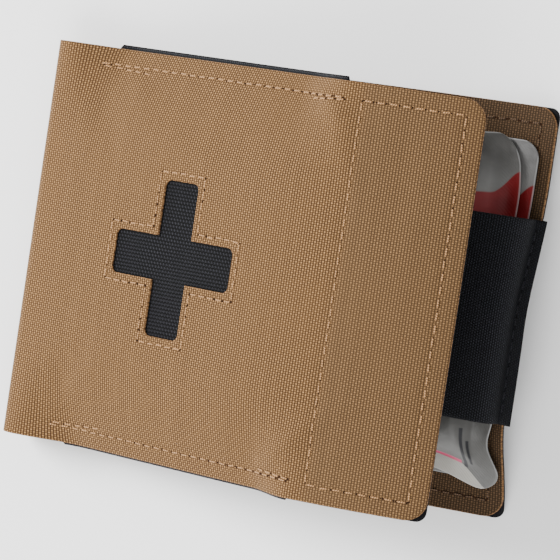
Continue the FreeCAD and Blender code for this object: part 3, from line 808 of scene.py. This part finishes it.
def follow(points, put):
    """Bends a sheet along a path of (a, b) points: gives the function that places (distance, across,
    offset) and the distances of the points along the path."""
    points = np.asarray(points, float)
    steps = np.diff(points, axis=0)
    sizes = np.hypot(steps[:, 0], steps[:, 1])
    stops = np.concatenate([[0], np.cumsum(sizes)])
    units = steps / sizes[:, None]
    mean = np.concatenate([units[:1], units[:-1] + units[1:], units[-1:]])
    mean /= np.hypot(mean[:, 0], mean[:, 1])[:, None]

    def along(distance, across, offset):
        distance, across, offset = arrays(distance, across, offset)
        a, b = (np.interp(distance, stops, points[:, k]) for k in (0, 1))
        ta, tb = (np.interp(distance, stops, mean[:, k]) for k in (0, 1))
        size = np.hypot(ta, tb)
        return put(a - tb / size * offset, across, b + ta / size * offset)

    return along, stops


def softened(points):
    """Cuts the corners of a path again and again, until it is a smooth curve."""
    points = np.asarray(points, float)
    for _ in range(4):
        first, second = points[:-1], points[1:]
        cut = np.stack([first * 0.75 + second * 0.25, first * 0.25 + second * 0.75], 1).reshape(-1, 2)
        points = np.concatenate([points[:1], cut[1:-1], points[-1:]])
    return points


def front_band_face(s, y):
    """The offset of the front band's face that lies against the cover. The band is sewn down along
    the page's two edges and runs straight across the folded tourniquet."""
    from_edge = np.minimum(y, HEIGHT - y)
    sewn = front_shape(s, y) + wrinkles(s, y) - LINING - 0.03
    leaves = front_shape(s, SEAM_INSET + 1) - LINING
    free = leaves + (BRIDGE - leaves) * smooth((from_edge - SEAM_INSET - 1) / 21)
    share = smooth((from_edge - SEAM_INSET) / 3)
    return sewn * (1 - share) + free * share


s, y = rounded(lines(*FRONT_BAND), lines(BAND_LOW, BAND_HIGH, 0.9), 0.4)
face = front_band_face(s, y)
front_band = sheet_mesh("front_elastic", s, y, face - BAND, face, place_plain,
                        (black_elastic_y, black_elastic_y, black_edge), bevel=0.2)
belongs(front_band, "front_cover", "front_band")

# The back band: sewn down near the fold, over both pouches, and sewn down at the fore-edge.
BAND_MID = LINING_FACE + BAND / 2 + CLEAR
BACK_BAND_PATH = softened([
    (22, BAND_MID), (30, BAND_MID), (35, BAND_MID), (47, 8.2), (60, 14.3), (72, 15.4), (100, 15.6),
    (130, 15.4), (141, 14.6), (148.5, 12.2), (152.4, 8.0), (152.6, 4.4), (152.8, BAND_MID),
    (157.96, BAND_MID),
])
on_back_band, stops = follow(BACK_BAND_PATH, place_flat)
back_band_length = stops[-1]


def on_slanted_band(s, y, off):
    """The sewn end runs a little aslant: shorter at the top."""
    slant = 1.2 * smooth((s - back_band_length + 20) / 20) * smooth((y - 40) / 50)
    return on_back_band(s - slant, y, off)


u, y = np.meshgrid(lines(0, back_band_length), lines(*BACK_BAND_Y))
back_band = sheet_mesh("back_elastic", u, y, -BAND / 2, BAND / 2, on_slanted_band,
                       (black_elastic_s, black_elastic_s, black_edge), bevel=0.25)
belongs(back_band, "back_cover", "back_band")

# The folded tourniquet: one strap in five layers, and the film sleeve round them.
LAYERS = (-8.1, -6.85, -5.6, -4.35, -3.1)
NEAR_TURN, FAR_TURN, TURN_RADIUS = 25.125, 86.875, 0.625
STRAP_WIDTH, STRAP_THICK = 60.0, 0.96
strap_path = [(24.0, LAYERS[0])]
for number, offset in enumerate(LAYERS):
    going = 1 if number % 2 == 0 else -1
    ends = (NEAR_TURN, FAR_TURN)[::going]
    strap_path += [(p, offset) for p in np.linspace(ends[0], ends[1], 22)]
    if offset != LAYERS[-1]:
        for turn in np.radians(np.arange(-60, 61, 30)):
            strap_path.append((ends[1] + going * TURN_RADIUS * math.cos(turn),
                               offset + TURN_RADIUS * (1 + math.sin(turn))))
strap_path.append((88.0, LAYERS[-1]))
on_strap, stops = follow(strap_path, place_plain)
u, y = np.meshgrid(stops, lines(HEIGHT / 2 - STRAP_WIDTH / 2, HEIGHT / 2 + STRAP_WIDTH / 2, 3.0))
strap = sheet_mesh("tourniquet_strap", u, y, -STRAP_THICK / 2, STRAP_THICK / 2, on_strap,
                   (strap_elastic,) * 3, bevel=0.2)
belongs(strap, "tourniquet", "tourniquet_wrap")

# The sleeve's section is a flat ring whose film overlaps at the start.
SLEEVE_S = (31.0, 79.0)
SLEEVE_Y = (HEIGHT / 2 - 30.16, HEIGHT / 2 + 30.16)
SLEEVE_OFF = (-8.76, -2.44)
SLEEVE_ROUND, SLEEVE_THICK = 0.25, 0.2
SLEEVE_START = 12.0
sleeve_path = [(HEIGHT / 2 + SLEEVE_START, SLEEVE_OFF[0])]
for high, outer, start in ((1, 0, -90), (1, 1, 0), (0, 1, 90), (0, 0, 180)):
    middle_y = SLEEVE_Y[high] + (-SLEEVE_ROUND if high else SLEEVE_ROUND)
    middle_off = SLEEVE_OFF[outer] + (-SLEEVE_ROUND if outer else SLEEVE_ROUND)
    for turn in np.radians((start, start + 30, start + 60, start + 90)):
        sleeve_path.append((middle_y + SLEEVE_ROUND * math.cos(turn),
                            middle_off + SLEEVE_ROUND * math.sin(turn)))
sleeve_path.append((HEIGHT / 2 + SLEEVE_START - 0.1, SLEEVE_OFF[0]))
on_sleeve, stops = follow(sleeve_path, lambda y, s, off: place_plain(s, y, off))
sleeve_length = stops[-1]
u, s = np.meshgrid(lines(0, sleeve_length, 2.0, stops), lines(*SLEEVE_S, 2.0))
sleeve = sheet_mesh("tourniquet_film", u, s, -SLEEVE_THICK / 2, SLEEVE_THICK / 2, on_sleeve,
                    (sleeve_film,) * 3, bevel=0.03)
belongs(sleeve, "tourniquet", "tourniquet_sleeve")

# ---- pouches

# Where the lower pouch's corner and the upper pouch's middle lie on the back cover, their height
# over it, how thick they are, and the share of their length that the bent film still spans.
LOWER_AT = (74.5, 10.6)
LOWER_BASE, LOWER_THICK = 3.0, 5.2
LOWER_DRAWN = 0.95
UPPER_MIDDLE = (111.0, 57.1)
UPPER_BASE, UPPER_THICK = 8.5, 6.0
UPPER_DRAWN = 0.986
UPPER_TURN = math.radians(5)


def pillow(u, v):
    """Share of a pouch's full height at a place: domed, and flat along its sealed rim."""
    side_slope, end_slope, fullness = 11, 13, 0.62
    du = np.clip((np.minimum(u, POUCH_SIZE[0] - u) - POUCH_MARGIN) / side_slope, 0, 1)
    dv = np.clip((np.minimum(v, POUCH_SIZE[1] - v) - POUCH_MARGIN) / end_slope, 0, 1)
    return (du * (2 - du) * dv * (2 - dv)) ** fullness


def film_ripple(u, v, seed):
    """Puckers of the film, strongest between the seal and the contents."""
    rim = np.minimum(np.minimum(u, POUCH_SIZE[0] - u), np.minimum(v, POUCH_SIZE[1] - v))
    waves = (np.sin(u * 0.55 + seed) * np.sin(v * 0.31 + 2 * seed)
             + 0.7 * np.sin(u * 0.23 - v * 0.47 + seed) + 0.5 * np.sin(u * 0.9 + v * 0.12 + 3 * seed))
    return 0.16 * waves * np.exp(-((rim - 9) / 6) ** 2)


def lower_lean(v):
    """How far the lower pouch leans to the fold at its low end."""
    return 1.8 * (1 - smooth(v / 60))


def lower_place(u, v, z):
    """The lower pouch leans a little and is drawn in lengthwise."""
    return place_flat(LOWER_AT[0] + u - lower_lean(v), LOWER_AT[1] + v * LOWER_DRAWN, z)


def lower_top(x, y):
    """The height of the lower pouch's dome at a place on the page."""
    v = (y - LOWER_AT[1]) / LOWER_DRAWN
    return LOWER_BASE + FILM + LOWER_THICK * pillow(x - LOWER_AT[0] + lower_lean(v), v)


def upper_place(u, v, z):
    """The upper pouch lies a little turned, its far rim droops, and its low end is creased."""
    u, v, z = arrays(u, v, z)
    du, dv = u - POUCH_SIZE[0] / 2, (v - POUCH_SIZE[1] / 2) * UPPER_DRAWN
    lean, stand = math.sin(UPPER_TURN), math.cos(UPPER_TURN)
    low_end = 1 - smooth(v / 20)
    pinch = (2.2 * np.exp(-(((v - 13) / 5) ** 2)) - 1.2 * np.exp(-(((v - 4) / 4) ** 2))
             - 0.8 * np.exp(-(((v - 89) / 9) ** 2)) + 2.2 * smooth((v - 95) / 10))
    x = UPPER_MIDDLE[0] + du * stand - dv * lean - pinch * smooth((u - 62) / 14)
    y = UPPER_MIDDLE[1] + du * lean + dv * stand
    y = y + low_end * (5.2 * (1 - smooth((u - 54) / 20)) - 0.6 * smooth((u - 62) / 8))
    droop = 3.9 * smooth((u - 63) / 12) + 1.2 * low_end * np.sin(u * 0.21) ** 2
    rest = np.maximum(lower_top(x, y) + FILM, 3.9)
    return place_flat(x, y, np.maximum(z - droop, rest + (z - UPPER_BASE) * 0.5))


def make_pouch(name, contents, node, put, base, thick, round_end, seed, printed, pad_finish):
    """A sealed pouch: its lower and upper films and the soft block of its contents, which has its own name,
    CAD node and finish."""
    width, length = POUCH_SIZE
    ends = corner_lines(0, length, round_end)
    u, v = rounded(lines(0, width), lines(0, length, through=ends), round_end)
    room = thick - 2 * FILM
    high = base + FILM + CLEAR + room * pillow(u, v) + np.maximum(film_ripple(u, v, seed), -CLEAR)
    lower = sheet_mesh(f"{name}_backing", u, v, base, base + FILM - CLEAR, put,
                       (pouch_backing,) * 3, bevel=0.05, uv_shift=0)
    upper = sheet_mesh(f"{name}_film", u, v, high, high + FILM - 2 * CLEAR, put,
                       (printed, pouch_backing, printed), bevel=0.05, uv_shift=0)
    inset = POUCH_MARGIN + 0.6
    u, v = rounded(lines(inset, width - inset, 1.2), lines(inset, length - inset, 1.2), 7)
    top = base + FILM + (room - 0.4) * np.maximum(pillow(u, v), 0.16) - 0.1
    pad = sheet_mesh(contents, u, v, base + FILM + 0.03, top, put, (pad_finish,) * 3, bevel=0.1, uv_shift=0)
    belongs(lower, name, f"{name}_lower_film")
    belongs(upper, name, f"{name}_upper_film")
    belongs(pad, name, node)
    return lower, upper, pad


pouches = [
    make_pouch("lower_pouch", "dressing", "pressure_dressing", lower_place,
               LOWER_BASE, LOWER_THICK, 6.0, 1.0, plain_film, white_pad),
    make_pouch("upper_pouch", "gauze_roll", "folded_gauze", upper_place,
               UPPER_BASE, UPPER_THICK, 6.5, 2.3, barred_film, gauze_cloth),
]

# ---- thread

HOLE_RADIUS, HOLE_LIFT = 0.36, 0.035
WANDER, TILT = 0.07, 0.045


def sewn(runs, face, side, put=place):
    """Rows for stitches() along runs: the offset of the face they lie on, +1 or -1 for the side of
    the cloth that they lie on, and the function that places them."""
    return [(start, end, face, side, put) for start, end in runs]


def stitches(name, rows, materials, seed, radius=0.26):
    """Sewn rows: a bowed stub of thread for each stitch, with a needle hole at each of its ends."""
    chance = np.random.default_rng(seed)
    rings, sides = 9, 8
    points, faces, slots, spots = [], [], [], []
    total = 0
    angles = np.arange(sides) * 2 * math.pi / sides
    t = np.linspace(-1, 1, rings)
    size = (radius * np.sqrt(np.maximum(1 - np.abs(t) ** 7, 0.02)))[:, None]
    for (x0, y0), (x1, y1), face, side, put in rows:
        length = math.hypot(x1 - x0, y1 - y0)
        count = max(1, round(length / STITCH_PITCH))
        way = np.array([x1 - x0, y1 - y0]) / length
        across = np.array([-way[1], way[0]])
        level = (face + side * (0.14 - 0.34 * np.abs(t) ** 5))[:, None]
        ring_off = level + side * size * np.sin(angles) * 0.85
        for number in range(count):
            middle = np.array([x0, y0]) + way * length * (number + 0.5) / count
            middle = middle + across * chance.normal(0, WANDER)
            lean = way + across * chance.normal(0, TILT)
            half = STITCH_LONG / 2 * chance.uniform(0.98, 1.12)
            ring_s, ring_y = (middle[k] + lean[k] * half * t[:, None] + across[k] * size * np.cos(angles)
                              for k in (0, 1))
            points.append(put(ring_s, ring_y, ring_off).reshape(-1, 3))
            for i, j in itertools.product(range(rings - 1), range(sides)):
                corner = [(i, j), (i + 1, j), (i + 1, j + 1), (i, j + 1)][::side]
                faces.append([total + a * sides + b % sides for a, b in corner])
                spots += [(t[a] * half, b * 0.2) for a, b in corner]
            for i, way_round in ((0, side), (rings - 1, -side)):
                faces.append([total + i * sides + j for j in range(sides)][::way_round])
                spots += [(t[i] * half, 0)] * sides
            slots += [0] * ((rings - 1) * sides + 2)
            total += rings * sides
            # Each needle hole is a flat disc in the second material: painted shade, for the shade inside the
            # hole.
            for end in (-1, 1):
                hole = middle + lean * half * end * 1.04
                hole_s = hole[0] + HOLE_RADIUS * np.cos(angles)
                hole_y = hole[1] + HOLE_RADIUS * np.sin(angles)
                points.append(put(hole_s, hole_y, face + side * HOLE_LIFT))
                faces.append([total + j for j in range(sides)][::side])
                slots.append(1)
                spots += list(zip(hole_s, hole_y))[::side]
                total += sides
    return new_piece(name, np.concatenate(points), faces, np.array(spots) * MM, slots, materials)


def on_back(x, y, offset):
    """A spot on the back cover, by its x."""
    return place(-np.asarray(x) - HALF, y, offset)


def front_thread(name, node, runs, inner_runs, inner_face, seed):
    """The thread of a seam of the front cover, on its outer face and on the face inside."""
    rows = sewn(runs, SHELL - SEAM_DIP, 1) + sewn(inner_runs, inner_face, -1)
    piece = stitches(name, rows, (tan_thread, needle_hole), seed)
    belongs(piece, "front_cover", node)
    return piece


hook_stitches = front_thread("hook_tape_stitches", "hook_panel_thread", HOOK_RUNS, HOOK_RUNS,
                             -LINING - HOOK, seed=2)
cross_stitches = front_thread("cross_stitches", "cross_thread", CROSS_RUNS, CROSS_RUNS, -LINING, seed=3)
for end, runs, seed in (("top", TOP_RUNS, 4), ("bottom", BOTTOM_RUNS, 5)):
    # Inside the cover, the runs that start on the band show.
    inner_runs = [run for run in runs if run[0][0] > FRONT_BAND[0]]
    front_thread(f"front_elastic_{end}_stitches", f"front_band_{end}_thread", runs,
                                      inner_runs, -LINING - BAND, seed)

panel_runs = rectangle(PANEL_START + 2, BACK_END - SEAM_INSET, *SEAM_YS)
rows = sewn(panel_runs, -LINING, -1, on_back) + sewn(panel_runs, SHELL + PANEL, 1, on_back)
# The loop tape's thread is toned dark: painted shade.
panel_stitches = stitches("loop_tape_stitches", rows, (shaded_tan_thread, needle_hole), seed=6)
belongs(panel_stitches, "back_cover", "loop_panel_thread")

# The back band's seams, by their distance along the band and by their x on the back cover.
BACK_SEAMS = ((3.0, 25.0), (8.0, 30.0), (back_band_length - 4.2, 153.4))
low, high = BACK_BAND_Y[0] + 3, BACK_BAND_Y[1] - 3
rows = []
for along, x in BACK_SEAMS:
    rows += sewn([((along, low), (along, high))], BAND / 2, 1, on_back_band)
    rows += sewn([((x, low), (x, high))], SHELL + PANEL, 1, on_back)
back_band_stitches = stitches("back_elastic_stitches", rows, (black_thread, black_edge), seed=7, radius=0.24)
belongs(back_band_stitches, "back_cover", "back_band_thread")

# ---- the flat size of sheets

def flat(width, length):
    """The size of a sheet laid flat, in metres."""
    return width * MM, length * MM


# ---- stage, light and camera

def floor_finish():
    """Plain and nearly white."""
    f = Finish("pale_floor", 0.9, 0.5)
    spot = f.node("ShaderNodeTexCoord").outputs["Object"]
    f.colour(f.blend(f.noise(spot, 6.0), (250, 250, 250), (253, 253, 253)))
    return f.material


FLOOR_GAP = 0.0004
bpy.ops.mesh.primitive_plane_add(size=6, location=(0, 0, cad_low.z - FLOOR_GAP))
floor = bpy.context.object
floor.name = "floor"
floor.data.materials.append(floor_finish())
floor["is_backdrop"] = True

world = bpy.data.worlds.new("studio")
world.use_nodes = True
sky = world.node_tree.nodes["Background"]
sky.inputs["Color"].default_value = (1, 1, 1, 1)
sky.inputs["Strength"].default_value = 0.8
bpy.context.scene.world = world


def area_light(name, spot, target, size, watts):
    """A soft round light at a spot, turned to its target."""
    lamp = bpy.data.lights.new(name, "AREA")
    lamp.shape = "DISK"
    lamp.size = size
    lamp.energy = watts
    holder = bpy.data.objects.new(name, lamp)
    bpy.context.scene.collection.objects.link(holder)
    holder.location = spot
    holder.rotation_mode = "QUATERNION"
    holder.rotation_quaternion = (Vector(target) - Vector(spot)).to_track_quat("-Z", "Y")


centre = (cad_low + cad_high) / 2
area_light("key", (-1.05, 0.45, 0.85), centre, 0.8, 57)
area_light("fill", (0.25, -1.0, 0.75), centre, 1.6, 26)

# The camera looks down on the closed wallet, from a little past its fore-edge.
LOOK_AT = Vector((0.075, HEIGHT / 2 * MM, 0.012))
PITCH, YAW, ROLL = (math.radians(a) for a in (2.952, -21.827, -9.647))
ASIDE = (-3.0 * MM, 1.126 * MM)
DISTANCE = 1.067234
SENSOR = 36.0
FOCAL_SHARE = 3600 / 560
turned = Matrix.Rotation(ROLL, 3, "Z") @ Matrix.Rotation(YAW, 3, "Y") @ Matrix.Rotation(PITCH, 3, "X")
axes = turned.transposed()
camera = bpy.data.objects.new("camera", bpy.data.cameras.new("camera"))
bpy.context.scene.collection.objects.link(camera)
camera.data.sensor_width = SENSOR
camera.data.lens = FOCAL_SHARE * SENSOR
camera.location = LOOK_AT + axes @ Vector((-ASIDE[0], -ASIDE[1], DISTANCE))
camera.rotation_mode = "QUATERNION"
camera.rotation_quaternion = axes.to_quaternion()
bpy.context.scene.camera = camera

low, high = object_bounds()
